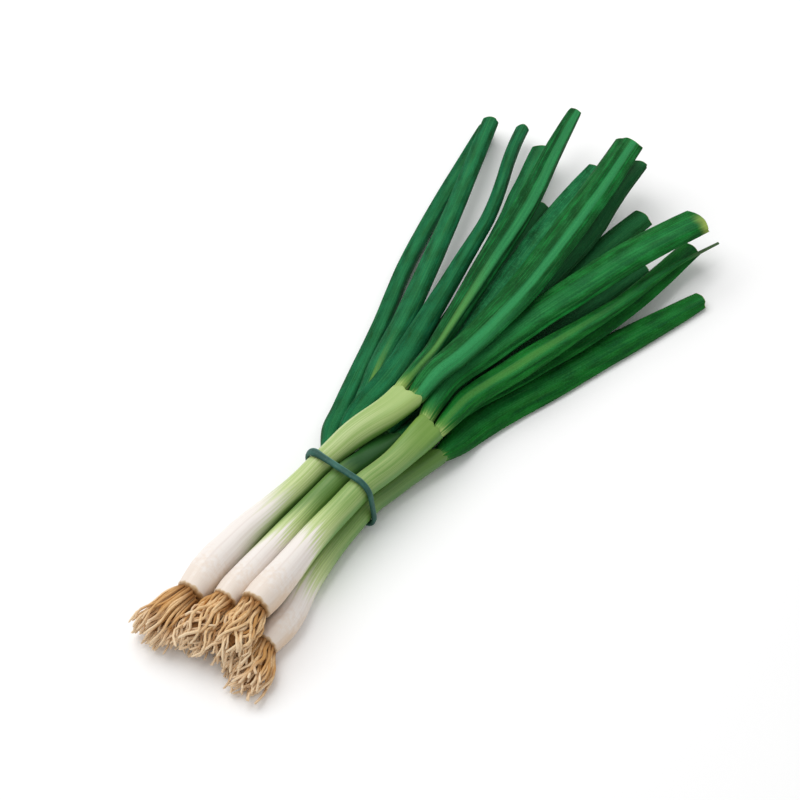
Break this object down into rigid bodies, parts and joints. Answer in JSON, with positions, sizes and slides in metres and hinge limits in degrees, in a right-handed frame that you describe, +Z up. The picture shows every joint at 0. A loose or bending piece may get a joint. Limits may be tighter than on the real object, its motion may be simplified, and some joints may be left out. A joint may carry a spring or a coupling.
{
  "type": "spring onion bunch",
  "caption": "Bunch of fresh spring onions held by a rubber band, with root tufts, white bulbs and cut green leaves, lying on its side.",
  "frame": {"origin": "middle of the bunch's box on the surface that it lies on", "axes": "+X along the bunch from the roots to the leaf ends, +Z up"},
  "size_m": [0.3794, 0.1676, 0.0352],
  "materials": {
    "stem_skin": "moist satin skin, white at the bulb and pale green above the band",
    "leaf_skin": "waxy satin leaf with fine lengthwise veins and a bluish bloom",
    "root_fibre": "dry matt fibrous roots",
    "band_rubber": "dull rubber"
  },
  "bodies": {
    "root": {"stem_1": "stem_skin", "stem_2": "stem_skin", "stem_3": "stem_skin", "stem_4": "stem_skin", "stem_5": "stem_skin", "stem_6": "stem_skin", "leaf_1_left": "leaf_skin", "leaf_1_right": "leaf_skin", "leaf_2_left": "leaf_skin", "leaf_2_middle": "leaf_skin", "leaf_2_right": "leaf_skin", "leaf_3_left": "leaf_skin", "leaf_3_right": "leaf_skin", "leaf_4_left": "leaf_skin", "leaf_4_right": "leaf_skin", "leaf_5_left": "leaf_skin", "leaf_5_middle": "leaf_skin", "leaf_5_right": "leaf_skin", "leaf_6_left": "leaf_skin", "leaf_6_middle": "leaf_skin", "leaf_6_right": "leaf_skin", "roots_1": "root_fibre", "roots_2": "root_fibre", "roots_3": "root_fibre", "roots_4": "root_fibre", "roots_5": "root_fibre", "roots_6": "root_fibre", "rubber_band": "band_rubber"}
  },
  "joints": []
}
